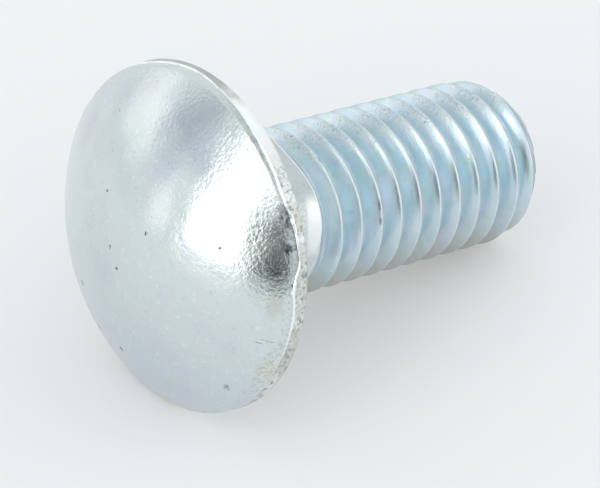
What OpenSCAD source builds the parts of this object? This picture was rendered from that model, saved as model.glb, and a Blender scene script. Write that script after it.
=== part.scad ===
// Carriage bolt: domed round head, square neck, full-length rolled thread, zinc plated.
// It is headed and thread-rolled from one piece of wire, so it is one solid.
// It lies on its side as it comes to rest, on the rim of its head and on its last full thread:
// the thread points to +X, +Z is up and z = 0 is the surface that it lies on.

/* [Head] */
// Diameter of the round head
head_d = 26.2; // [24:0.1:30]
// Height of the head above its bearing face
head_h = 6.6; // [5.5:0.1:7.5]
// Thickness of the head at its rim
rim_t = 1.1; // [0.8:0.05:1.6]

/* [Square neck] */
// Width of the square across its flats
neck_w = 12.7; // [12.4:0.1:13.1]
// Length of the neck under the head
neck_l = 6.65; // [6:0.05:7.2]
// Radius of the neck's four corners
neck_corner_r = 3.6; // [2.5:0.1:4.5]
// Distance from the axis to the corners where the neck ends
neck_end_r = 7.1; // [6.9:0.05:7.4]
// Length of the bevel on the ends of the corners
neck_bevel_l = 0.5; // [0.3:0.05:1]
// Angle by which the flats are rolled about the axis as the bolt lies
neck_roll = 11; // [0:1:89]

/* [Thread] */
// Length from the bearing face to the tip
bolt_l = 29.8; // [26:0.1:34]
// Outside diameter of the thread
thread_d = 12.65; // [12.4:0.05:12.7]
// Pitch of the thread, which is right-handed and has 13 turns to the inch
pitch = 1.954; // [1.8:0.001:2.1]
// Length of the chamfer at the tip, which reaches down to the thread's root
tip_chamfer = 1.2; // [1:0.1:1.6]
// Plain shank between the neck and the first turn of the thread
plain_l = 0.65; // [0.4:0.05:1]
// Length over which the thread rises from the plain shank to its full depth
runout_l = 1.9; // [1.5:0.1:3]
// Distance from the tip back to the last full crest on the side that the bolt lies on
last_crest_back = 2.47; // [2:0.01:2.8]

/* [Hidden] */

$fn = 96;
zinc = [0.77, 0.82, 0.85];
overlap = 1;                       // how far the shank is sunk into the neck

head_r = head_d / 2;
dome_h = head_h - rim_t;
dome_r = (head_r * head_r + dome_h * dome_h) / (2 * dome_h);

// Unified thread form: 60 degree flanks, flat crest of an eighth of the pitch, round root
thread_r = thread_d / 2;
crest_half = 1 / 16;               // half of the crest's width, as a share of the pitch
root_depth = 0.6134 * pitch;
flank_depth = 0.92 * root_depth;   // depth at which the flank runs into the round of the root
flank_end = crest_half + flank_depth * tan(30) / pitch;
root_half = 0.05;                  // half of the root's flat bottom, as a share of the pitch
root_r = thread_r - root_depth;
shank_r = thread_r - 0.3248 * pitch;   // the rolled blank is as thick as the thread's pitch diameter

// One pitch of the form: the place along the pitch from a crest, and the depth below the crest
FORM = [
    [0, 0],
    [crest_half, 0],
    [flank_end, flank_depth],
    [0.5 - root_half, root_depth],
    [0.5 + root_half, root_depth],
    [1 - flank_end, flank_depth],
    [1 - crest_half, 0],
    [1, 0]
];
mid_flank = (crest_half + flank_end) / 2;
// Places along one pitch at which the thread's surface has a row of points
STEPS = [crest_half, mid_flank, flank_end, 0.5 - root_half,
         0.5 + root_half, 1 - flank_end, 1 - mid_flank, 1 - crest_half];
// The rim and the thread are drawn with the same short flats round them, a multiple of 4, and
// one of each faces down: the bolt lies still on two flats, where two true circles would roll
SIDES = 40;
corner = 1 / cos(180 / SIDES);     // how much further out the corners between the flats are
function turned(j) = (j + 0.5) / SIDES;    // share of a turn at corner j

thread_start = neck_l - overlap;
runout_start = neck_l + plain_l;
last_crest = bolt_l - last_crest_back;
turns = ceil((bolt_l - thread_start) / pitch) + 2;
// Axial place of a crest at angle 0, at least one turn before the shank starts. The side that the
// bolt lies on is three quarters of a turn further on
first_crest = last_crest - pitch * (3 / 4 + turns);
ROWS = (turns + 3) * len(STEPS);

// The bolt leans on the edge of its rim and on the far corner of its last full crest
crest_rest_x = last_crest + pitch * (crest_half + turned(0));
lean = atan((head_r - thread_r) / crest_rest_x);
rest_h = head_r * cos(lean);
x_low = (dome_r - head_h) * cos(lean) - dome_r;
x_high = bolt_l * cos(lean) + root_r * sin(lean);
x_mid = (x_low + x_high) / 2;

function ramp(t) = let (c = min(1, max(0, t))) c * c * (3 - 2 * c);
function frac(t) = t - floor(t);

// Radius of the threaded surface at axial place x and angle a about the axis
function form_r(x, a) = thread_r - lookup(frac((x - first_crest) / pitch - a / 360), FORM);
function runout_r(x, a) = shank_r + (form_r(x, a) - shank_r) * ramp((x - runout_start) / runout_l);
function thread_surface_r(x, a) = min(runout_r(x, a), root_r + (thread_r - root_r) * (bolt_l - x) / tip_chamfer);

// Rows follow the helix, so row i at a full turn is row i + len(STEPS) at the start of the turn
function row_x(i, j) = first_crest
    + pitch * (floor(i / len(STEPS)) + STEPS[i % len(STEPS)] + turned(j));
function rows_before(t) = len(STEPS) * floor(t) + len([for (u = STEPS) if (u <= frac(t)) u]);
function first_row(j) = rows_before((thread_start - first_crest) / pitch - turned(j)) - 1;
function last_row(j) = rows_before((bolt_l - first_crest) / pitch - turned(j));
function clamp_row(i, j) = max(first_row(j), min(last_row(j), i));
function point_at(i, j) = j < SIDES
    ? clamp_row(i, j) * SIDES + j
    : clamp_row(i + len(STEPS), 0) * SIDES;
function whole(t) = t[0] != t[1] && t[1] != t[2] && t[2] != t[0];

module threaded_shank() {
    points = [for (i = [0:ROWS]) for (j = [0:SIDES - 1])
        let (a = 360 * turned(j),
             x = min(bolt_l, max(thread_start, row_x(i, j))),
             r = corner * thread_surface_r(x, a))
        [x, r * cos(a), r * sin(a)]];
    start_centre = len(points);
    tip_centre = start_centre + 1;
    skin = [for (i = [0:ROWS - 1]) for (j = [0:SIDES - 1])
        let (p = point_at(i, j), q = point_at(i + 1, j),
             s = point_at(i + 1, j + 1), t = point_at(i, j + 1))
        for (face = [[p, q, s], [p, s, t]]) if (whole(face)) face];
    start_cap = [for (j = [0:SIDES - 1]) [start_centre, point_at(0, j), point_at(0, j + 1)]];
    tip_cap = [for (j = [0:SIDES - 1]) [tip_centre, point_at(ROWS, j + 1), point_at(ROWS, j)]];
    polyhedron(
        points = concat(points, [[thread_start, 0, 0], [bolt_l, 0, 0]]),
        faces = concat(skin, start_cap, tip_cap),
        convexity = 10
    );
}

module rounded_square(width, r) {
    inner = width - 2 * r;
    square([width, inner], center = true);
    square([inner, width], center = true);
    for (x = [-1, 1]) for (y = [-1, 1])
        translate([x * inner / 2, y * inner / 2]) circle(r = r);
}

// The neck's corners are bevelled where they end, down to neck_end_r
module square_neck() {
    intersection() {
        rotate([0, 90, 0]) rotate([0, 0, neck_roll])
            linear_extrude(height = neck_l) rounded_square(neck_w, neck_corner_r);
        rotate([0, 90, 0]) union() {
            cylinder(r = neck_w / sqrt(2), h = neck_l - neck_bevel_l);
            translate([0, 0, neck_l - neck_bevel_l])
                cylinder(r1 = neck_end_r + neck_bevel_l, r2 = neck_end_r, h = neck_bevel_l);
        }
    }
}

// A spherical cap on a short straight rim
module domed_head() {
    intersection() {
        translate([dome_r - head_h, 0, 0]) sphere(r = dome_r);
        rotate([0, -90, 0]) linear_extrude(height = head_h) polygon(
            [for (j = [0:SIDES - 1]) corner * head_r * [cos(360 * turned(j)), sin(360 * turned(j))]]);
    }
}

module bolt() {
    color(zinc)
    translate([-x_mid, 0, rest_h])
    rotate([0, lean, 0])
    union() {
        domed_head();
        square_neck();
        threaded_shank();
    }
}

bolt();
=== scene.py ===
import math
import bmesh
import bpy
from mathutils import Matrix, Vector, noise


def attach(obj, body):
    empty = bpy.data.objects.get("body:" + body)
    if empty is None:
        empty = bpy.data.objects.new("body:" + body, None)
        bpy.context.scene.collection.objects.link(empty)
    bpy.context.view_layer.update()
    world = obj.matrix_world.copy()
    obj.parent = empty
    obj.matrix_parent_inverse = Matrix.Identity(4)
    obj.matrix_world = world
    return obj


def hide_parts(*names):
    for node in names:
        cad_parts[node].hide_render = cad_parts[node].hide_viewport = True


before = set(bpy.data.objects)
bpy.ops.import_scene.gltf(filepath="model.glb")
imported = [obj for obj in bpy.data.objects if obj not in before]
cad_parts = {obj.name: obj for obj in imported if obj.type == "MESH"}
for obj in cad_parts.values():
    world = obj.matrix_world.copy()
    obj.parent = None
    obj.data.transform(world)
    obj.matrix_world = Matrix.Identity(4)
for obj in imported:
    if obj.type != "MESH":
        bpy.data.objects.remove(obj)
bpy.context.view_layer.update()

# ---------------------------------------------------------------------------------------------
# Head
# The bolt's head, of steel wire. The punch of the cold header presses the wire's end into a
# shallow dome, and the metal that the die doesn't hold runs out into a thin rim, which keeps an
# uneven lip where punch and die met.

# Sizes are in millimetres. Angles are in degrees, and run round the bolt from +Y towards +Z
head_r = 13.1
head_h = 6.6
rim_t = 1.1
head_sides = 480
dome_h = head_h - rim_t
dome_r = (head_r ** 2 + dome_h ** 2) / (2 * dome_h)
dome_centre = dome_r - head_h + 0.001    # a hair inside the full height
bearing_gap = 0.02       # how far the bearing face's edge stays inside the head's radius
bearing_bevel = 0.12     # worn edge of the bearing face
bearing_dish = 0.08      # the bearing face is a little hollow

# How the bolt lies: on its rim and on the last full crest of its thread, which points to +X
bolt_l = 29.8
thread_r = 6.325
pitch = 1.954
thread_depth = 0.6134 * pitch
root_r = thread_r - thread_depth
last_crest = bolt_l - 2.47
crest_half = 1 / 16      # half of the solid's flat crest, as a share of the pitch
flat_half = 1 / 80       # half of one of the 40 flats round the solid, as a share of a turn
crest_rest_x = last_crest + pitch * (crest_half + flat_half)
lean = math.atan((head_r - thread_r) / crest_rest_x)
rest_h = head_r * math.cos(lean)
x_low = (dome_r - head_h) * math.cos(lean) - dome_r
x_high = bolt_l * math.cos(lean) + root_r * math.sin(lean)
lying = (Matrix.Scale(0.001, 4)
         @ Matrix.Translation((-(x_low + x_high) / 2, 0, rest_h))
         @ Matrix.Rotation(lean, 4, "Y"))


def ring_at(places, round_angles):
    """A ring of points, from the place along the axis and the radius at each angle."""
    return [(x, r * math.cos(math.radians(angle)), r * math.sin(math.radians(angle)))
            for angle, (x, r) in zip(round_angles, places)]


def skin_of_rings(name, rings, marks=None):
    """A closed skin over rings of points, from the first ring's centre to the last ring's."""
    mesh = bpy.data.meshes.new(name)
    sides = len(rings[0])
    points = [p for ring in rings for p in ring]
    for ring in (rings[0], rings[-1]):
        points.append(tuple(sum(p[k] for p in ring) / sides for k in range(3)))
    first_centre, last_centre = len(points) - 2, len(points) - 1
    last_ring = (len(rings) - 1) * sides
    faces = []
    for j in range(sides):
        k = (j + 1) % sides
        faces.append((first_centre, k, j))
        for i in range(len(rings) - 1):
            here, there = i * sides, (i + 1) * sides
            faces.append((here + j, here + k, there + k, there + j))
        faces.append((last_centre, last_ring + j, last_ring + k))
    mesh.from_pydata(points, [], faces)
    on_bolt = mesh.attributes.new("on_bolt", "FLOAT_VECTOR", "POINT")
    on_bolt.data.foreach_set("vector", [c for p in points for c in p])
    for mark_name, values in (marks or {}).items():
        spread = mesh.attributes.new(mark_name, "FLOAT", "POINT")
        spread.data.foreach_set("value", values + [0.0, 0.0])
    mesh.transform(lying)
    bm = bmesh.new()
    bm.from_mesh(mesh)
    bmesh.ops.recalc_face_normals(bm, faces=bm.faces)
    for face in bm.faces:
        face.smooth = True
    bm.to_mesh(mesh)
    bm.free()
    piece = bpy.data.objects.new(name, mesh)
    bpy.context.scene.collection.objects.link(piece)
    return piece


def smooth(t):
    """An eased step, from 0 at 0 to 1 at 1."""
    t = min(1.0, max(0.0, t))
    return t * t * (3 - 2 * t)


def bulge(angle, centre, width):
    """How near an angle is to a centre, from 0 to 1."""
    off = (angle - centre + 180) % 360 - 180
    return math.exp(-(off / width) ** 2)


def stretch(angle, start, rise, end, fall):
    """1 from a little after the start to the end, and 0 elsewhere, with eased sides."""
    return smooth((angle - start) / rise) * (1 - smooth((angle - end) / fall))


def wander(angle, seed, turns):
    """A smooth closed random wave round the rim."""
    a = math.radians(angle)
    return noise.noise(Vector((math.cos(a) * turns, math.sin(a) * turns, seed)))


# The lip of the rim for each angle: its place along the axis, its radius and how round it is. The
# rim is thin on top, and folded back where the flash was pressed over
lip_x = -1.02
lip_gap = 0.035          # how far the lip stays inside the head's radius on average
lip_least_gap = 0.01
lip_round = 0.12
round_depth = 0.8        # length of the rounding along the axis, as a share of its radius
fold_angle = 144         # where the fold is sharpest
top_thin, fold_back, low_thick, lowest_thick = 0.38, 0.36, 0.16, 0.2
lips = []
angles = [360 * j / head_sides for j in range(head_sides)]
for angle in angles:
    x = (lip_x + top_thin * bulge(angle, 80, 17) + fold_back * stretch(angle, 139, 5, 158, 5)
         - low_thick * bulge(angle, 168, 5) - lowest_thick * bulge(angle, 203, 12)
         + 0.05 * wander(angle, 3.1, 2.4) + 0.05 * wander(angle, 7.7, 14))
    r = head_r - lip_gap + 0.02 * wander(angle, 1.3, 5) + 0.03 * wander(angle, 5.2, 16)
    rounding = (lip_round + 0.16 * bulge(angle, fold_angle, 4) + 0.12 * bulge(angle, 205, 18)
                + 0.05 * wander(angle, 9.4, 10))
    lips.append((x, min(r, head_r - lip_least_gap), rounding))

# Dark dents beside the fold: how dark, at what angle and radius, half the length in degrees, half
# the width in millimetres, and how sharp the edge is. The last, wide one is a painted dark
# reflection
dents_and_painted_reflection = ((1.0, 153, 12.78, 2.2321, 0.26, 2),
         (0.75, 161, 12.05, 2.1226, 0.4, 2),
         (0.42, 162, 12.1, 5.2381, 0.7, 1))
fold_r = 12.7            # the fold starts at this radius
seam_r = 12.78           # and so does the fine seam above it
worn_r = 12.65           # handling has rubbed the dome outside this radius
head_rings = []
worn, fold_shade_and_dent_marks, peened = [], [], []


def dent_at(angle, r):
    """How dark the dents and the painted dark reflection make a place on the head, from 0 to 1."""
    darkest = 0.0
    for dark, at_angle, at_r, half_length, half_width, sharp in dents_and_painted_reflection:
        off = ((angle - at_angle) / half_length) ** 2 + ((r - at_r) / half_width) ** 2
        darkest = max(darkest, dark * math.exp(-off ** sharp))
    return darkest


def mark_ring(radius_share, back):
    """Marks how worn, how dark with painted shade and dents, and how rough a ring's points
    are. Back is 1 behind the lip.
    """
    r = radius_share * head_r
    for angle in angles:
        # Painted shade darkens the fold and the fine seam above it, except behind the lip
        fold = stretch(angle, 137, 3, 161, 4) * smooth((r - fold_r) / 0.15)
        fold *= 0.55 + 0.45 * bulge(angle, fold_angle, 5)
        seam = 0.45 * bulge(angle, 120, 18) * smooth((r - seam_r) / 0.06)
        fold_shade_and_dent_marks.append(max(max(fold, seam) * (1 - back), dent_at(angle, r)))
        rubbed_from = worn_r - 0.5 * bulge(angle, 197, 16) - 0.4 * wander(angle, 2.2, 6)
        worn.append(smooth((r - rubbed_from) / 0.3)
                    * (0.12 + 0.88 * bulge(angle, 195, 24) + 0.5 * bulge(angle, 300, 26)))
        peened.append(0.6 + 0.4 * smooth((r - 7.5) / 3.5) * bulge(angle, 145, 42)
                      + 0.2 * smooth((r - 11.2) / 1.5))


# The dome's rings lie far apart on most of it and close together near the lip
coarse_part, coarse_rings, fine_rings = 0.92, 64, 26
dome_shares = [coarse_part * (i / coarse_rings) ** 0.95 for i in range(1, coarse_rings + 1)]
dome_shares += [coarse_part + (1 - coarse_part) * i / fine_rings for i in range(1, fine_rings + 1)]
joins_lip = 0.988        # from this share of its radius on, the dome bends to meet the lip
dome_part = 0.99         # share of the head's radius at which the lip's rounding starts
for share in dome_shares:
    places = []
    for edge_x, edge_r, rounding in lips:
        r = share * (edge_r - rounding)
        dome_edge_x = dome_centre - math.sqrt(dome_r ** 2 - (edge_r - rounding) ** 2)
        to_lip = edge_x - rounding * round_depth - dome_edge_x
        x = dome_centre - math.sqrt(dome_r ** 2 - r ** 2)
        places.append((x + smooth((share - joins_lip) / (1 - joins_lip)) * to_lip, r))
    head_rings.append(ring_at(places, angles))
    mark_ring(share * dome_part, 0.0)
# The lip's rounding, from the dome to the rim's wall
for turn in (20, 40, 60, 75, 90):
    q = math.radians(turn)
    head_rings.append(ring_at(
        [(edge_x - rounding * round_depth * math.cos(q), edge_r - rounding * (1 - math.sin(q)))
         for edge_x, edge_r, rounding in lips], angles))
    mark_ring(dome_part + (1 - dome_part) * turn / 90, 1.0 if turn > 30 else 0.2)
# The rim's wall, which is a little hollow and uneven
for share in (0.08, 0.16, 0.35, 0.55, 0.75, 0.9, 1.0):
    places = []
    for angle, (edge_x, edge_r, rounding) in zip(angles, lips):
        hollow = 0.05 * math.sin(math.pi * share)
        hollow += 0.02 * noise.noise(Vector((share * 3, angle / 5, 4.4)))
        places.append((edge_x + share * (-bearing_bevel - edge_x),
                       edge_r + share * (head_r - bearing_gap - edge_r) - max(0.0, hollow)))
    head_rings.append(ring_at(places, angles))
    mark_ring(1.0, 1.0)
# The worn edge of the bearing face, and the face itself
for share in (0.5, 1.0):
    place = (-bearing_bevel * (1 - share), head_r - bearing_gap - bearing_bevel * share)
    head_rings.append(ring_at([place] * head_sides, angles))
    mark_ring(1.0, 1.0)
bearing_steps = 13
for i in range(1, bearing_steps):
    place = (-bearing_dish * math.sin(math.pi * i / bearing_steps),
             (head_r - bearing_gap - bearing_bevel) * (1 - i / bearing_steps))
    head_rings.append(ring_at([place] * head_sides, angles))
    mark_ring(0.3, 1.0)
head = skin_of_rings("domed_head", head_rings,
                     {"worn": worn, "folded": fold_shade_and_dent_marks, "peened": peened})


def linear(hex_colour):
    """An sRGB hex colour as the linear values that a socket takes."""
    parts = [int(hex_colour[k:k + 2], 16) / 255 for k in (1, 3, 5)]
    return tuple(c / 12.92 if c <= 0.04045 else ((c + 0.055) / 1.055) ** 2.4
                 for c in parts) + (1.0,)


def add(tree, kind, inputs=None, out=0, **settings):
    """Adds a node and gives one of its outputs, or all of them where out is None.

    Inputs are values, or the outputs of other nodes that feed them.
    """
    node = tree.nodes.new(kind)
    for name, value in settings.items():
        setattr(node, name, value)
    for key, value in (inputs or {}).items():
        if isinstance(value, bpy.types.NodeSocket):
            tree.links.new(value, node.inputs[key])
        else:
            node.inputs[key].default_value = value
    return node.outputs if out is None or len(node.outputs) == 0 else node.outputs[out]


def bare_material(name):
    """A material with an empty tree."""
    material = bpy.data.materials.new(name)
    material.use_nodes = True
    material.node_tree.nodes.clear()
    return material, material.node_tree


def graded(tree, *grades):
    """How strongly something shows where several grades meet, which is their product.

    A grade is a strength, or (pattern, low, high), which eases from 0 to 1 as the pattern goes
    from low to high, or (pattern, low, high, at_low, at_high), which eases between those two.
    """
    strength = None
    for grade in grades:
        if isinstance(grade, tuple):
            pattern, low, high, at_low, at_high = (grade + (0.0, 1.0))[:5]
            grade = add(tree, "ShaderNodeMapRange", {
                "Value": pattern, "From Min": low, "From Max": high, "To Min": at_low,
                "To Max": at_high}, interpolation_type="SMOOTHSTEP")
        strength = grade if strength is None else add(
            tree, "ShaderNodeMath", {0: strength, 1: grade}, operation="MULTIPLY")
    return strength


def coat(tree, colour, tone, *grades):
    """Lays a tone over a colour, as strongly as the grades say."""
    return add(tree, "ShaderNodeMix", {0: graded(tree, *grades), 6: colour, 7: linear(tone)},
               out=2, data_type="RGBA")


def near_spot(tree, where, spot, size):
    """How near a place is to a spot, from 0 to 1. The size is the spot's reach along X, Y and Z."""
    gap = add(tree, "ShaderNodeVectorMath", {0: where, 1: spot}, operation="SUBTRACT")
    gap = add(tree, "ShaderNodeVectorMath", {0: gap, 1: size}, operation="DIVIDE")
    far = add(tree, "ShaderNodeVectorMath", {0: gap}, out="Value", operation="LENGTH")
    return graded(tree, (far, 0.4, 1.0, 1.0, 0.0))


def either(tree, *strengths):
    """The greatest of several strengths."""
    greatest = strengths[0]
    for strength in strengths[1:]:
        greatest = add(tree, "ShaderNodeMath", {0: greatest, 1: strength}, operation="MAXIMUM")
    return greatest


def plate(tree, colour, roughness, normal):
    """Ends a material's tree with bright metal."""
    metal = add(tree, "ShaderNodeBsdfPrincipled", {
        "Base Color": colour, "Metallic": 1.0, "Roughness": roughness, "Normal": normal})
    add(tree, "ShaderNodeOutputMaterial", {"Surface": metal})


# Clear zinc plate on cold-headed steel: bright and a little blue, with soft patches of lavender
# and green where the film is thinner. Noise scales are in grains per millimetre
dome_zinc, tree = bare_material("clear_zinc_plate_on_dome")
where = add(tree, "ShaderNodeAttribute", out="Vector", attribute_name="on_bolt")
height = add(tree, "ShaderNodeSeparateXYZ", {"Vector": where}, out="Z")
film = add(tree, "ShaderNodeTexNoise", {
    "Vector": where, "Scale": 0.2, "Detail": 2.0, "Distortion": 0.2})
thin_film = add(tree, "ShaderNodeTexNoise", {"Vector": where, "Scale": 0.5, "Detail": 3.0})
# Towards its low side the dome turns bluer with its film, and darker as painted shade
colour = coat(tree, linear("#CED8E0"), "#DAE3E2", (height, -13.0, 4.0))
colour = coat(tree, colour, "#D2D5DF", (film, 0.42, 0.75, 0.0, 0.8))
colour = coat(tree, colour, "#D3DFD9", (thin_film, 0.55, 0.75, 0.0, 0.7))
# Two water stains near the rim: a yellow one and a grey one
speck = add(tree, "ShaderNodeTexNoise", {
    "Vector": where, "Scale": 4.2, "Detail": 4.0, "Roughness": 0.75})
for tone, spot, size in (("#E0DCC4", (-1.5, -12.1, -4.3), (1.7, 1.1, 1.6)),
                         ("#C9CAC4", (-2.1, -11.9, 1.5), (1.3, 0.7, 1.5))):
    colour = coat(tree, colour, tone,
                  near_spot(tree, where, spot, size), (speck, 0.4, 0.56, 0.35, 0.75))
# Grey specks where the dome's edge is rubbed, and light and dark dots all over. The plating's own
# crystals are far finer than these, which are drawn as coarse as they need to be to show
rubbed = add(tree, "ShaderNodeAttribute", out="Fac", attribute_name="worn")
colour = coat(tree, colour, "#BEC3BF", (speck, 0.47, 0.6), rubbed)
dots = add(tree, "ShaderNodeTexNoise", {
    "Vector": where, "Scale": 2.6, "Detail": 5.0, "Roughness": 0.8})
colour = coat(tree, colour, "#F6F8F8", (dots, 0.585, 0.64, 0.0, 0.55))
colour = coat(tree, colour, "#A5AEB2", (dots, 0.39, 0.34, 0.0, 0.5))
# Dark pits and a few short scratches, ragged at their edges
flaws = []
for spot, size in (((-6.3, -1.9, 2.8), 0.2), ((-6.55, 1.2, -0.1), 0.18),
                   ((-6.55, 0.1, -1.3), 0.18), ((-4.15, 0.4, -9.0), 0.3),
                   ((-3.64, 3.7, -9.3), 0.3), ((-4.77, 5.2, -6.0), 0.3),
                   ((-4.4, -7.6, 4.4), 0.15), ((-5.9, 3.8, -2.0), 0.16),
                   ((-6.0, 3.2, 3.4), 0.14)):
    flaws.append(near_spot(tree, where, spot, (size * 1.4, size, size * 1.2)))
for spot, size in (((-2.1, -11.95, -1.45), (0.9, 0.8, 0.07)),
                   ((-2.5, -11.5, -1.8), (0.5, 0.5, 0.06)),
                   ((-2.47, -9.26, -6.98), (0.4, 0.3, 0.55)),
                   ((-3.9, 6.2, 8.0), (0.6, 0.5, 0.07))):
    flaws.append(graded(tree, (near_spot(tree, where, spot, size), 0.0, 1.0, 0.0, 0.6)))
ragged = add(tree, "ShaderNodeTexNoise", {"Vector": where, "Scale": 7.0, "Detail": 1.0})
flaw = graded(tree, either(tree, *flaws), (ragged, 0.38, 0.52))
# A painted highlight: the lip is painted white, faint low down
across = add(tree, "ShaderNodeVectorMath", {0: where, 1: (0.0, 1.0, 1.0)}, operation="MULTIPLY")
from_axis = add(tree, "ShaderNodeVectorMath", {0: across}, out="Value", operation="LENGTH")
colour = coat(tree, colour, "#FDFEFE",
              (from_axis, head_r - 0.17, head_r - 0.1), (height, -3.5, 1.5, 0.1, 1.0))
# Painted shade darkens the fold and the fine seam, and the dents are dark too, the wide one
# as a painted dark reflection
mottled = add(tree, "ShaderNodeTexNoise", {
    "Vector": where, "Scale": 3.4, "Detail": 3.0, "Roughness": 0.6})
folded = add(tree, "ShaderNodeAttribute", out="Fac", attribute_name="folded")
painted_fold_shade_and_dents = graded(tree, folded, (mottled, 0.38, 0.6, 1.0, 0.6))
colour = coat(tree, colour, "#4E5556", either(tree, flaw, painted_fold_shade_and_dents))
# Slow waves from the punch, and orange peel that grows rough near the fold
waves = add(tree, "ShaderNodeTexNoise", {"Vector": where, "Scale": 0.33, "Detail": 1.0})
waves = add(tree, "ShaderNodeBump", {"Height": waves, "Strength": 1.0, "Distance": 0.00007})
peel = add(tree, "ShaderNodeTexNoise", {
    "Vector": where, "Scale": 3.4, "Detail": 3.0, "Roughness": 0.55})
peel_rough = add(tree, "ShaderNodeAttribute", out="Fac", attribute_name="peened")
peel = add(tree, "ShaderNodeBump", {
    "Height": peel, "Strength": graded(tree, (peel_rough, 0.2, 1.0, 0.12, 0.9)),
    "Distance": 0.00003, "Normal": waves})
plate(tree, colour, graded(tree, (thin_film, 0.3, 0.7, 0.17, 0.23)), peel)
head.data.materials.append(dome_zinc)

# The rim's edge is torn and rubbed: the plating on it is whiter and duller, with beige patches
# and grey specks, brightest near the fold, where a highlight is painted on its upper side, and
# greyer on the far side
rim_zinc, tree = bare_material("rubbed_zinc_on_rim")
where = add(tree, "ShaderNodeAttribute", out="Vector", attribute_name="on_bolt")
side = add(tree, "ShaderNodeSeparateXYZ", {"Vector": where}, out=None)
speck = add(tree, "ShaderNodeTexNoise", {
    "Vector": where, "Scale": 3.2, "Detail": 4.0, "Roughness": 0.7})
patches = add(tree, "ShaderNodeTexNoise", {"Vector": where, "Scale": 0.6, "Detail": 2.0})
colour = coat(tree, linear("#E9EDEC"), "#C9CFCE", (patches, 0.42, 0.62))
colour = coat(tree, colour, "#D6D5CA", (patches, 0.4, 0.6, 0.0, 0.6))
colour = coat(tree, colour, "#9DA3A0", (speck, 0.49, 0.62), (side["Z"], 12.0, 8.0, 0.45, 1.0))
# A painted highlight: a white patch on the rim's upper side
colour = coat(tree, colour, "#F8FAFA",
              near_spot(tree, where, (-0.5, -5.2, 11.9), (3.0, 4.2, 3.2)))
colour = coat(tree, colour, "#B3BAB8", (side["Y"], -2.5, 0.5, 0.0, 0.8))
bump = add(tree, "ShaderNodeBump", {"Height": speck, "Strength": 0.8, "Distance": 0.00004})
plate(tree, colour, 0.32, bump)
head.data.materials.append(rim_zinc)

# The faces between the lip and the bearing face take the rim's material
wall_r = head_r - 0.14
wall_top, wall_foot = -1.6, -0.02
on_bolt = [v.vector.copy() for v in head.data.attributes["on_bolt"].data]
for face in head.data.polygons:
    middle = sum((on_bolt[v] for v in face.vertices), Vector()) / len(face.vertices)
    if math.hypot(middle.y, middle.z) > wall_r and wall_top < middle.x < wall_foot:
        angle = math.degrees(math.atan2(middle.z, middle.y)) % 360
        if middle.x > lips[int(angle / 360 * head_sides)][0]:
            face.material_index = 1

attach(head, "root")
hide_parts("bolt")

# ---------------------------------------------------------------------------------------------
# Square neck
# The square under the head, of the same steel. The die forms it with well-rounded corners, which
# fade towards its end and finish in a short bevel, where the die let the wire go.
neck_w = 12.7
neck_l = 6.65
neck_corner_r = 3.6
neck_end_r = 7.1         # distance from the axis to the corners at the neck's end
neck_roll = 11
neck_fillet = 0.7        # joins the neck to the head
neck_sunk = 0.5          # how far the neck's skin starts inside the head
neck_sides = 288
neck_fade_start = neck_l - 3.2
neck_fade_l = 3.0
bevel_blend = 0.12
neck_waves = 0.015
end_face_x = neck_l + 0.02
end_face_r = 5.3         # the neck's end face runs in to here, inside the shank


def neck_radius(angle):
    """Distance from the axis to the rounded square's side at an angle."""
    turn = math.radians((angle - neck_roll + 45) % 90 - 45)
    inner = neck_w / 2 - neck_corner_r
    flat = neck_w / 2 / math.cos(turn)
    if abs(flat * math.sin(turn)) <= inner:
        return flat
    turn = abs(turn)
    outward = inner * (math.cos(turn) + math.sin(turn))
    across = inner * (math.sin(turn) - math.cos(turn))
    return outward + math.sqrt(neck_corner_r ** 2 - across ** 2)


def faded_radius(angle):
    """The same distance where the neck ends, since the metal did not fill the die's corners."""
    cornerwise = math.sin(math.radians(2 * (angle - neck_roll))) ** 2
    return neck_w / 2 + (neck_end_r - neck_w / 2) * cornerwise


neck_angles = [360 * j / neck_sides for j in range(neck_sides)]
middle_steps, end_steps, end_part = 14, 12, 0.7
stations = [-neck_sunk, 0.0, 0.1, 0.2, 0.35, 0.5, neck_fillet]
stations += [neck_fillet + (neck_l - neck_fillet - end_part) * k / middle_steps
             for k in range(1, middle_steps + 1)]
stations += [neck_l - end_part + end_part * k / end_steps for k in range(1, end_steps + 1)]
neck_rings = []
for x in stations:
    places = []
    for angle in neck_angles:
        r = neck_radius(angle)
        if x < neck_fillet:
            gap = min(0.999, max(0.0, (neck_fillet - x) / neck_fillet))
            r += neck_fillet * (1 - math.sqrt(1 - gap ** 2))
        faded = smooth((x - neck_fade_start) / neck_fade_l)
        r += (min(r, faded_radius(angle)) - r) * faded
        cone = neck_end_r + (neck_l - x)
        cut = max(0.0, min(1.0, 0.5 + 0.5 * (r - cone) / bevel_blend))
        r += (cone - r) * cut - bevel_blend * cut * (1 - cut)
        r += neck_waves * noise.noise(Vector((x * 0.9, angle / 14, 2.0)))
        places.append((x, r))
    neck_rings.append(ring_at(places, neck_angles))
for inward in (0.05, 0.1875, 0.5625, 1.0):
    neck_rings.append(ring_at(
        [(end_face_x, faded_radius(angle) + (end_face_r - faded_radius(angle)) * inward)
         for angle in neck_angles], neck_angles))
neck = skin_of_rings("square_neck", neck_rings)

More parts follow.
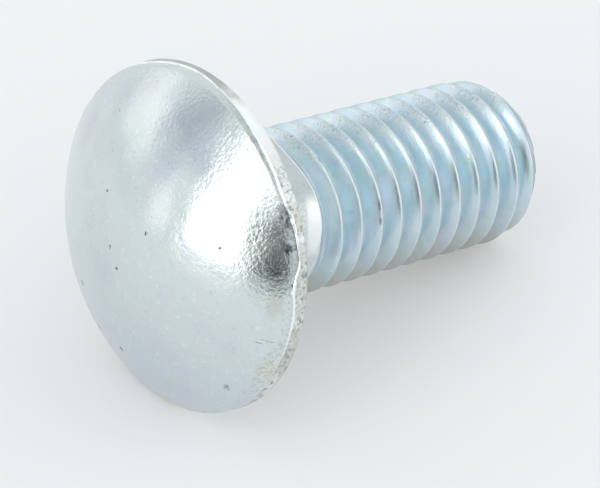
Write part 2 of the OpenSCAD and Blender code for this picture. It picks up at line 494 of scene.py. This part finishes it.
# The die scrapes the neck along its length, so its plating is silvery and speckled. The corner
# on the near side and the edge of the neck's end carry painted highlights
neck_zinc, tree = bare_material("scraped_zinc_on_neck")
where = add(tree, "ShaderNodeAttribute", out="Vector", attribute_name="on_bolt")
side = add(tree, "ShaderNodeSeparateXYZ", {"Vector": where}, out=None)
scraped = add(tree, "ShaderNodeMapping", {"Vector": where, "Scale": (0.8, 1.2, 1.2)})
grain = add(tree, "ShaderNodeTexNoise", {
    "Vector": scraped, "Scale": 3.4, "Detail": 5.0, "Roughness": 0.7})
film = add(tree, "ShaderNodeTexNoise", {"Vector": where, "Scale": 0.4, "Detail": 2.0})
colour = coat(tree, linear("#E4E9EA"), "#C3CACB", (grain, 0.42, 0.66))
colour = coat(tree, colour, "#D3DAE8", (film, 0.45, 0.7, 0.0, 0.8))
# Painted shade: the neck's upper side is darker
colour = coat(tree, colour, "#BAC3C5", (side["Z"], 3.4, 6.0, 0.0, 0.85))
# Painted highlights on the edge of the neck's end and on the near corner
painted_end_edge_highlight = graded(tree, (side["X"], 6.48, 6.6))
painted_corner_highlight = near_spot(tree, where, (6.0, -6.1, 2.9), (1.2, 2.2, 3.2))
colour = coat(tree, colour, "#FBFDFD", (either(tree, painted_end_edge_highlight, painted_corner_highlight), 0.0, 1.0, 0.0, 0.9))
bump = add(tree, "ShaderNodeBump", {"Height": grain, "Strength": 0.7, "Distance": 0.00005})
plate(tree, colour, 0.3, bump)
neck.data.materials.append(neck_zinc)

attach(neck, "root")
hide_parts("bolt")

# ---------------------------------------------------------------------------------------------
# Thread
# The threaded shank, of the same steel. Two flat dies roll the thread into a blank as thick as
# the pitch diameter. The metal is pushed up from both flanks, so that each crest keeps a fine
# seam between two lips.
blank_r = thread_r - 0.3248 * pitch
plain_l = 0.65           # bare blank between the neck and the thread
tip_chamfer = 1.2
shank_start = neck_l - 1.0
low_crest = 0.75 + 0.5   # turns from the strip's start to its first crest on the low side
lead_in = 3.2            # the strip starts at least this far before the shank
lead_out = 1.3           # and goes on this far past the tip, to close the end face
strip_start = last_crest - pitch * (
    math.ceil((last_crest - shank_start + lead_in) / pitch - low_crest) + low_crest)
thread_sizes = {
    "Thread radius": thread_r, "Pitch": pitch, "Depth": thread_depth, "Blank radius": blank_r,
    "Shank start": shank_start, "Shank end": bolt_l, "Strip start": strip_start,
    "Run-out start": neck_l + plain_l, "Run-out length": 1.0,
    "Chamfer length": tip_chamfer, "Drawn in": 2.4, "Ruffle": 0.02, "Seed": 4.0}
thread_counts = {
    "Turns": math.ceil((bolt_l + lead_out - strip_start) / pitch),
    "Points round": 144, "Points along": 28}

# Blue passivated zinc: the film is thicker on the thread, so it is pale blue with patches of
# green and violet, and duller on the side that lies down
thread_zinc, tree = bare_material("blue_zinc_plate_on_thread")
where = add(tree, "ShaderNodeAttribute", out="Vector", attribute_name="on_bolt")
height = add(tree, "ShaderNodeSeparateXYZ", {"Vector": where}, out="Z")
up_flank = add(tree, "ShaderNodeAttribute", out="Fac", attribute_name="up_flank")
tip_edge = add(tree, "ShaderNodeAttribute", out="Fac", attribute_name="tip_edge")
film = add(tree, "ShaderNodeTexNoise", {
    "Vector": where, "Scale": 0.45, "Detail": 3.0, "Distortion": 0.3})
thin_film = add(tree, "ShaderNodeTexNoise", {
    "Vector": where, "Scale": 1.0, "Detail": 4.0, "Roughness": 0.6})
colour = coat(tree, linear("#C9DDE8"), "#D6E3EC", (film, 0.38, 0.66))
colour = coat(tree, colour, "#C6E0D9", (thin_film, 0.5, 0.72))
colour = coat(tree, colour, "#D4D6EC", (film, 0.6, 0.78, 0.0, 0.8))
colour = coat(tree, colour, "#C3C4B9", (height, -1.0, -5.0, 0.0, 0.8))
# Handling has scuffed the upper side: it is pale there, with light and dark grains, drawn coarser
# than real ones so that they show
scuffed = graded(tree, (height, 5.2, 6.1))
fine = add(tree, "ShaderNodeTexNoise", {
    "Vector": where, "Scale": 5.5, "Detail": 3.0, "Roughness": 0.7})
colour = coat(tree, colour, "#DDE6E9", (scuffed, 0.0, 1.0, 0.0, 0.65))
colour = coat(tree, colour, "#8FA0A8", (fine, 0.42, 0.32), (scuffed, 0.0, 1.0, 0.05, 0.8))
light_grains = graded(tree, (fine, 0.56, 0.68), (scuffed, 0.0, 1.0, 0.12, 1.0),
                      (up_flank, 0.2, 0.8, 0.2, 1.0))
# The crests and the edge of the tip are rubbed back to white. On the crests the white is also
# a painted highlight, least on the top and low down
streaks = add(tree, "ShaderNodeMapping", {
    "Vector": where, "Scale": (3.0, 0.7, 0.7), "Location": (5.0, 2.0, 9.0)})
grain = add(tree, "ShaderNodeTexNoise", {
    "Vector": streaks, "Scale": 2.6, "Detail": 4.0, "Roughness": 0.65})
low_side = graded(tree, (height, -1.0, -5.0))
rubbed = graded(tree, (up_flank, 0.975, 0.998), (grain, 0.34, 0.5, 0.35, 1.0),
                (height, 5.3, 6.0, 1.0, 0.25), (low_side, 0.0, 1.0, 1.0, 0.45))
colour = coat(tree, colour, "#F0F4F4", either(tree, rubbed, light_grains, tip_edge))
# Dark nicks in the crests, and painted shade in the roots
for spot, size in (((12.95, -5.6, 2.75), (0.1, 0.9, 0.55)),
                   ((12.98, -5.9, 1.6), (0.1, 0.9, 0.4)),
                   ((9.45, -5.7, 2.25), (0.14, 0.9, 0.2)),
                   ((13.9, -6.0, -0.4), (0.22, 0.9, 0.16)),
                   ((18.2, -6.0, 1.2), (0.24, 0.9, 0.1)),
                   ((9.0, -2.4, 5.7), (0.2, 0.5, 0.5))):
    colour = coat(tree, colour, "#66737A",
                  (near_spot(tree, where, spot, size), 0.0, 1.0, 0.0, 0.6))
# Painted shade: the roots are darker
colour = coat(tree, colour, "#93A6AF", (up_flank, 0.12, 0.0, 0.0, 0.6))
drawn = add(tree, "ShaderNodeBump", {"Height": grain, "Strength": 0.3, "Distance": 0.00004})
scratched = add(tree, "ShaderNodeBump", {
    "Height": fine, "Strength": graded(tree, (scuffed, 0.0, 1.0, 0.1, 0.8)),
    "Distance": 0.00003, "Normal": drawn})
plate(tree, colour, graded(tree, (rubbed, 0.0, 1.0, 0.27, 0.18)), scratched)

# The tree that rolls the thread, with a named input for each size. Its steps of arithmetic are
# listed with the result's name, what is done, and the names or values that it is done to
rolled = bpy.data.node_groups.new("rolled_thread", "GeometryNodeTree")
rolled.interface.new_socket("Geometry", in_out="OUTPUT", socket_type="NodeSocketGeometry")
roller_inputs = {}
for values, socket_type in ((thread_sizes, "NodeSocketFloat"), (thread_counts, "NodeSocketInt"),
                            ({"Finish": thread_zinc}, "NodeSocketMaterial")):
    for name, value in values.items():
        socket = rolled.interface.new_socket(name, in_out="INPUT", socket_type=socket_type)
        roller_inputs[socket.identifier] = value
made = {socket.name: socket for socket in add(rolled, "NodeGroupInput", out=None)}

# The strip: a grid whose long side winds round the shank and whose short side is one pitch wide
for name, operation, *parts in (
        ("cells long", "MULTIPLY", "Turns", "Points round"),
        ("points long", "ADD", "cells long", 1.0),
        ("points wide", "ADD", "Points along", 1.0)):
    made[name] = add(rolled, "ShaderNodeMath", {
        k: made.get(part, part) for k, part in enumerate(parts)}, operation=operation)
strip = add(rolled, "GeometryNodeMeshGrid", {
    "Size X": 1.0, "Size Y": 1.0,
    "Vertices X": made["points long"], "Vertices Y": made["points wide"]})
flat_place = add(rolled, "ShaderNodeSeparateXYZ", {
    "Vector": add(rolled, "GeometryNodeInputPosition")}, out=None)
made["grid x"], made["grid y"] = flat_place["X"], flat_place["Y"]
full_turn = 2 * math.pi
crowding = 0.6           # how much closer the points lie at the crest than at the root
for name, operation, *parts in (
        ("length share", "ADD", "grid x", 0.5),
        ("turns wound", "MULTIPLY", "length share", "Turns"),
        ("flat across", "ADD", "grid y", 0.5),
        ("wave angle", "MULTIPLY", "flat across", full_turn),
        ("wave", "SINE", "wave angle"),
        ("shift", "MULTIPLY", "wave", crowding / full_turn),
        ("across", "ADD", "flat across", "shift"),
        ("angle", "MULTIPLY", "turns wound", full_turn),
        ("cosine", "COSINE", "angle"),
        ("sine", "SINE", "angle"),
        ("pitches", "ADD", "turns wound", "across"),
        ("from start", "MULTIPLY", "pitches", "Pitch"),
        ("raw x", "ADD", "Strip start", "from start")):
    made[name] = add(rolled, "ShaderNodeMath", {
        k: made.get(part, part) for k, part in enumerate(parts)}, operation=operation)

# The thread's form: places across one pitch and heights as shares of the depth, with rounded
# roots, straight flanks and two lips on the crest with a seam between them
half_form = ((0.05, 0.0, "AUTO"), (0.09, 0.025, "AUTO"), (0.13, 0.1, "VECTOR"),
             (0.36, 0.735, "VECTOR"), (0.41, 0.86, "AUTO"), (0.45, 0.94, "AUTO"),
             (0.482, 1.0, "AUTO"))
seam_height = 0.965
other_half = tuple((1 - place, high, handle) for place, high, handle in reversed(half_form))
form = add(rolled, "ShaderNodeFloatCurve", {"Value": made["across"]})
curve = form.node.mapping.curves[0]
for place, high, handle in half_form + ((0.5, seam_height, "AUTO"),) + other_half:
    curve.points.new(place, high).handle_type = handle
curve.points[0].location = (0.0, 0.0)
curve.points[-1].location = (1.0, 0.0)
form.node.mapping.update()
made["form"] = form

# The roots sink below the blank right behind the neck, and the crests rise from it after them
stagger = 0.3
for name, operation, *parts in (
        ("root r", "SUBTRACT", "Thread radius", "Depth"),
        ("form height", "MULTIPLY", "form", "Depth"),
        ("form r", "ADD", "root r", "form height"),
        ("over blank", "SUBTRACT", "form r", "Blank radius"),
        ("full crest", "MAXIMUM", "over blank", 0.0),
        ("full root", "MINIMUM", "over blank", 0.0),
        ("crests start", "ADD", "Run-out start", stagger),
        ("crests end", "ADD", "crests start", "Run-out length"),
        ("roots start", "SUBTRACT", "Run-out start", stagger),
        ("roots end", "ADD", "roots start", "Run-out length")):
    made[name] = add(rolled, "ShaderNodeMath", {
        k: made.get(part, part) for k, part in enumerate(parts)}, operation=operation)
made["crests"] = graded(rolled, made["full crest"],
                        (made["raw x"], made["crests start"], made["crests end"]))
made["roots"] = graded(rolled, made["full root"],
                       (made["raw x"], made["roots start"], made["roots end"]))

draw_slope = 0.28        # how steeply the blank's end is drawn in
chamfer_blend = 0.12
closing_slope = 5.0      # how steeply the strip runs in to the axis past each end
ruffle_r = 6.0           # the ruffle's noise is taken at this distance from the axis
for name, operation, *parts in (
        # The blank's end is drawn in a little, so the last turn stands lower than the others
        ("crests and roots", "ADD", "crests", "roots"),
        ("shank r", "ADD", "Blank radius", "crests and roots"),
        ("drawn start", "SUBTRACT", "Shank end", "Drawn in"),
        ("past drawn start", "SUBTRACT", "raw x", "drawn start"),
        ("drawn length", "MAXIMUM", "past drawn start", 0.0),
        ("drawn depth", "MULTIPLY", "drawn length", draw_slope),
        ("drawn crest", "MULTIPLY", "drawn depth", "form"),
        ("last turn r", "SUBTRACT", "shank r", "drawn crest"),
        # The chamfer at the tip
        ("to tip", "SUBTRACT", "Shank end", "raw x"),
        ("chamfer share", "DIVIDE", "to tip", "Chamfer length"),
        ("chamfer height", "MULTIPLY", "chamfer share", "Depth"),
        ("cone r", "ADD", "root r", "chamfer height"),
        ("tip r", "SMOOTH_MIN", "last turn r", "cone r", chamfer_blend),
        # Past each end the strip runs in to the axis, which closes the end face
        ("over end", "SUBTRACT", "raw x", "Shank end"),
        ("past end", "MAXIMUM", "over end", 0.0),
        ("under start", "SUBTRACT", "Shank start", "raw x"),
        ("before start", "MAXIMUM", "under start", 0.0),
        ("outside", "ADD", "past end", "before start"),
        ("closing", "MULTIPLY", "outside", closing_slope),
        ("closed r", "SUBTRACT", "tip r", "closing"),
        ("smooth r", "MAXIMUM", "closed r", 0.0),
        ("started x", "MAXIMUM", "raw x", "Shank start"),
        ("x", "MINIMUM", "started x", "Shank end"),
        ("ruffle y", "MULTIPLY", "cosine", ruffle_r),
        ("ruffle z", "MULTIPLY", "sine", ruffle_r)):
    made[name] = add(rolled, "ShaderNodeMath", {
        k: made.get(part, part) for k, part in enumerate(parts)}, operation=operation)

# Rolling leaves the crests a little ruffled. The flat end takes no marks of the thread
ruffle_place = add(rolled, "ShaderNodeCombineXYZ", {
    "X": made["x"], "Y": made["ruffle y"], "Z": made["ruffle z"]})
made["uneven"] = add(rolled, "ShaderNodeTexNoise", {
    "Vector": ruffle_place, "W": made["Seed"], "Scale": 1.3, "Detail": 4.0},
    noise_dimensions="4D")
least_r = 0.001          # what lies nearer to the axis than this is drawn right onto it
end_steepness = 30.0
end_mark = 0.5           # the end face is marked as half way up a flank
for name, operation, *parts in (
        ("off middle", "SUBTRACT", "uneven", 0.5),
        ("ruffle size", "MULTIPLY", "off middle", "Ruffle"),
        ("near crest", "POWER", "form", 3.0),
        ("ruffle", "MULTIPLY", "ruffle size", "near crest"),
        ("ruffle in", "MINIMUM", "ruffle", 0.0),
        ("ruffled r", "ADD", "smooth r", "ruffle in"),
        ("outer r", "MAXIMUM", "ruffled r", 0.0),
        ("off axis", "GREATER_THAN", "outer r", least_r),
        ("r", "MULTIPLY", "outer r", "off axis"),
        ("y", "MULTIPLY", "cosine", "r"),
        ("z", "MULTIPLY", "sine", "r"),
        ("end rise", "MULTIPLY", "past end", end_steepness),
        ("on end", "MINIMUM", "end rise", 1.0),
        ("off end", "SUBTRACT", 1.0, "on end"),
        ("flank mark", "MULTIPLY", "form", "off end"),
        ("end share", "MULTIPLY", "on end", end_mark),
        ("up flank", "ADD", "flank mark", "end share"),
        ("chamfer gap", "SUBTRACT", "last turn r", "cone r"),
        ("from edge", "ABSOLUTE", "chamfer gap")):
    made[name] = add(rolled, "ShaderNodeMath", {
        k: made.get(part, part) for k, part in enumerate(parts)}, operation=operation)
place = add(rolled, "ShaderNodeCombineXYZ", {"X": made["x"], "Y": made["y"], "Z": made["z"]})
tip_edge = add(rolled, "ShaderNodeMapRange", {
    "Value": made["from edge"], "From Min": 0.02, "From Max": 0.12, "To Min": 1.0, "To Max": 0.0})
tip_edge = graded(rolled, tip_edge, made["off end"])
marked = strip
for name, value, data_type in (("on_bolt", place, "FLOAT_VECTOR"),
                               ("up_flank", made["up flank"], "FLOAT"),
                               ("tip_edge", tip_edge, "FLOAT")):
    marked = add(rolled, "GeometryNodeStoreNamedAttribute", {
        "Geometry": marked, "Name": name, "Value": value}, data_type=data_type)
laid = add(rolled, "GeometryNodeSetPosition", {"Geometry": marked, "Position": place})
welded = add(rolled, "GeometryNodeMergeByDistance", {"Geometry": laid, "Distance": 0.002})
shaded = add(rolled, "GeometryNodeSetShadeSmooth", {"Geometry": welded, "Shade Smooth": True})
real = add(rolled, "GeometryNodeRealizeInstances", {"Geometry": shaded})
finished = add(rolled, "GeometryNodeSetMaterial", {
    "Geometry": real, "Material": made["Finish"]})
add(rolled, "NodeGroupOutput", {"Geometry": finished})

roller = bpy.data.objects.new("thread_roller", bpy.data.meshes.new("thread_roller"))
bpy.context.scene.collection.objects.link(roller)
rolling = roller.modifiers.new("rolling", "NODES")
rolling.node_group = rolled
for identifier, value in roller_inputs.items():
    rolling[identifier] = value
rolled_roller = roller.evaluated_get(bpy.context.evaluated_depsgraph_get())
thread_mesh = bpy.data.meshes.new_from_object(rolled_roller)
bpy.data.objects.remove(roller)
bm = bmesh.new()
bm.from_mesh(thread_mesh)
bmesh.ops.dissolve_degenerate(bm, dist=1e-6, edges=bm.edges)
bmesh.ops.recalc_face_normals(bm, faces=bm.faces)
bm.to_mesh(thread_mesh)
bm.free()
thread_mesh.transform(lying)
thread_mesh.name = "rolled_thread"
thread = bpy.data.objects.new("rolled_thread", thread_mesh)
bpy.context.scene.collection.objects.link(thread)
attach(thread, "root")
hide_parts("bolt")

# ---------------------------------------------------------------------------------------------
# Floor
# A sheet of matt white card, which takes the bolt's soft shadow. Where it is looked at, a little
# light of its own keeps it pale.
floor_mesh = bpy.data.meshes.new("floor")
floor_mesh.from_pydata([(-2, -2, 0), (2, -2, 0), (2, 2, 0), (-2, 2, 0)], [], [(0, 1, 2, 3)])
floor = bpy.data.objects.new("floor", floor_mesh)
bpy.context.scene.collection.objects.link(floor)
# The card is dull and even. Its fibres are too fine to show, so a grain of about 1.1 mm is drawn
card, tree = bare_material("white_card")
grain = add(tree, "ShaderNodeTexNoise", {
    "Vector": add(tree, "ShaderNodeTexCoord", out="Object"), "Scale": 900, "Detail": 3.0})
bump = add(tree, "ShaderNodeBump", {"Height": grain, "Strength": 0.05, "Distance": 0.00002})
matt = add(tree, "ShaderNodeBsdfPrincipled", {
    "Base Color": linear("#F2F1F1"), "Roughness": 0.9, "Normal": bump})
pale = add(tree, "ShaderNodeEmission", {"Color": linear("#F2F0EF"), "Strength": 1.0})
pale_share = 0.26
path = add(tree, "ShaderNodeLightPath", out=None)
seen = either(tree, path["Is Camera Ray"], path["Is Glossy Ray"], path["Is Transmission Ray"])
share = add(tree, "ShaderNodeMath", {0: seen, 1: pale_share}, operation="MULTIPLY")
paper = add(tree, "ShaderNodeMixShader", {0: share, 1: matt, 2: pale})
add(tree, "ShaderNodeOutputMaterial", {"Surface": paper})
floor_mesh.materials.append(card)

# ---------------------------------------------------------------------------------------------
# Studio light
# The table stands in a white room, whose walls light it evenly. What the bright metal mirrors of
# the room is shown apart: a pale wall with white panels, grey gaps between them and one dark door.
world = bpy.data.worlds.new("white_room")
bpy.context.scene.world = world
world.use_nodes = True
tree = world.node_tree
tree.nodes.clear()
path = add(tree, "ShaderNodeLightPath", out=None)
seen = either(tree, path["Is Camera Ray"], path["Is Glossy Ray"], path["Is Transmission Ray"])
way = add(tree, "ShaderNodeTexCoord", out="Generated")
back = add(tree, "ShaderNodeVectorMath", {0: way, 1: (-1.0, -1.0, 1.0)}, operation="MULTIPLY")
back = add(tree, "ShaderNodeSeparateXYZ", {"Vector": back}, out=None)
round_room = add(tree, "ShaderNodeMath", {0: back["Y"], 1: back["X"]}, operation="ARCTAN2")
round_room = add(tree, "ShaderNodeMath", {0: round_room}, operation="DEGREES")
up_wall = add(tree, "ShaderNodeMath", {0: back["Z"]}, operation="ARCSINE")
up_wall = add(tree, "ShaderNodeMath", {0: up_wall}, operation="DEGREES")
on_wall = add(tree, "ShaderNodeCombineXYZ", {"X": round_room, "Y": up_wall})

# The tone, place and half size of each thing on the wall, and how soft its edge is, the later
# ones over the earlier ones. Azimuth runs from +X, and all sizes are in degrees
wall = linear("#DADEDF")
for tone, azimuth, elevation, wide, high, soft in (
        ("#CDD3D5", 125, 2, 36, 2.5, 0.8),     # grey skirting behind the head
        ("#FFFFFF", 155, 18, 6, 24, 0.6),      # two white panels above it
        ("#FFFFFF", 116, 19, 15, 11, 0.6),
        ("#C2CCD2", 146, 36, 14, 16, 0.7),     # grey wall over the panels
        ("#A8B3BA", 134, 44, 13, 16, 0.7),
        ("#B5BCBF", 165, 26, 4, 40, 0.4),      # grey gap beside them
        ("#FFFFFF", 222, 58, 26, 24, 0.2),     # white ceiling over the camera
        ("#FFFFFF", 184, 7, 17, 18, 0.4),      # white panel in front of the head
        ("#FFFFFF", 308, 15, 30, 19, 0.6),     # white panel beside the thread
        ("#FFFFFF", 19, 32, 15, 9, 0.7),       # white panel past the tip
        ("#505555", 213, 14, 11, 22, 0.3)):    # dark door
    off = add(tree, "ShaderNodeVectorMath", {0: on_wall, 1: (azimuth - 180, elevation, 0.0)},
              operation="SUBTRACT")
    off = add(tree, "ShaderNodeVectorMath", {0: off, 1: (wide, high, 1.0)}, operation="DIVIDE")
    far = add(tree, "ShaderNodeVectorMath", {0: off}, out="Value", operation="LENGTH")
    wall = coat(tree, wall, tone, (far, 1 - soft, 1 + soft, 1.0, 0.0))
lit = add(tree, "ShaderNodeBackground", {"Color": linear("#EAF1F5"), "Strength": 1.02})
shown = add(tree, "ShaderNodeBackground", {"Color": wall, "Strength": 1.25})
room = add(tree, "ShaderNodeMixShader", {0: seen, 1: lit, 2: shown})
add(tree, "ShaderNodeOutputWorld", {"Surface": room})

lit_place = Vector((0.0, 0.0, 0.012))


def soft_box(name, azimuth, elevation, width, height, power):
    """An upright soft box a metre away, which faces the bolt. Azimuth runs from +X, in degrees."""
    lamp = bpy.data.lights.new(name, "AREA")
    lamp.shape = "RECTANGLE"
    lamp.size, lamp.size_y = width, height
    lamp.energy = power
    lamp.color = linear("#FFFAF6")[:3]
    box = bpy.data.objects.new(name, lamp)
    a = math.radians(azimuth)
    outward = Vector((math.cos(a), math.sin(a), 0.0))
    box.location = lit_place + outward + Vector((0, 0, math.tan(math.radians(elevation))))
    box.rotation_mode = "QUATERNION"
    box.rotation_quaternion = outward.to_track_quat("Z", "Y")
    box.visible_camera = False
    bpy.context.scene.collection.objects.link(box)
    return box


soft_box("key_box", 186, 43.4, 0.55, 1.7, 3.85)
fill = soft_box("fill_box", -43, 22, 0.9, 0.9, 2.9)
fill.visible_glossy = False

# ---------------------------------------------------------------------------------------------
# Camera
# A long lens, looking down at the bolt from beside its head.
lens = bpy.data.cameras.new("camera")
lens.sensor_width = 36
lens.lens = 294.94
lens.clip_start, lens.clip_end = 0.01, 10
camera = bpy.data.objects.new("camera", lens)
camera.location = (-0.179076, -0.220023, 0.239737)
camera.rotation_euler = [math.radians(turn) for turn in (50.4964, 0.0843, -38.9974)]
bpy.context.scene.collection.objects.link(camera)
bpy.context.scene.camera = camera
bpy.context.scene.view_settings.view_transform = "Standard"

bpy.context.view_layer.update()
